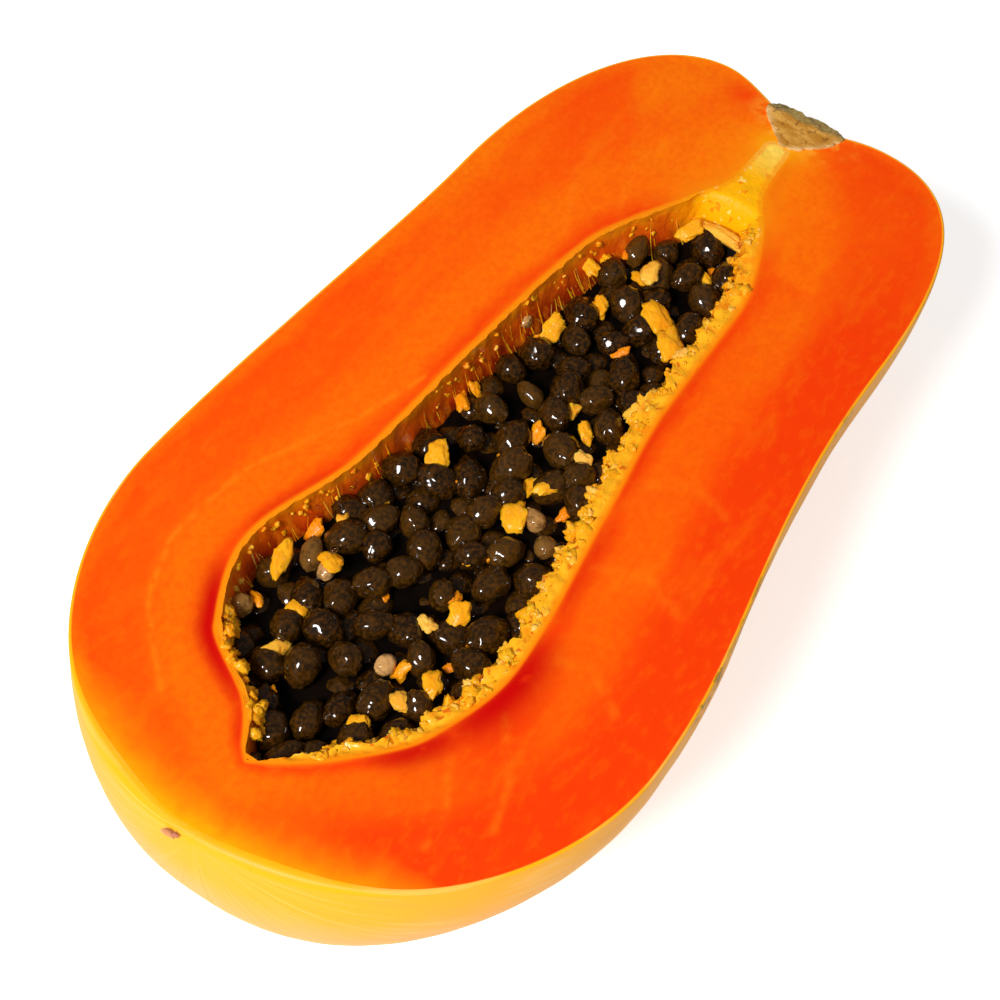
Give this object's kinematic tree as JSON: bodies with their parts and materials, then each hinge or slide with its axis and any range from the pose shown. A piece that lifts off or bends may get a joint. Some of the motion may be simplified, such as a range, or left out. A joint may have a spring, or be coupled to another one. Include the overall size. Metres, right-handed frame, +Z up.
{
  "type": "papaya half",
  "caption": "Half of a ripe papaya, cut lengthwise, with its seed heap in the hollow, resting on its skin with the cut face up.",
  "frame": {"origin": "middle of the fruit's outline, on the floor it rests on", "axes": "+X along the fruit towards its stem, +Z up out of the cut face, +Y across"},
  "size_m": [0.2072, 0.1156, 0.054],
  "materials": {
    "flesh": "moist cut fruit flesh inside a smooth yellow skin",
    "pulp": "soft, crumbly, moist lining",
    "seeds": "wet, wrinkled seed coats",
    "stem": "dry cork"
  },
  "bodies": {
    "root": {"flesh": "flesh", "pulp": "pulp", "seeds": "seeds", "stem": "stem"}
  },
  "joints": []
}
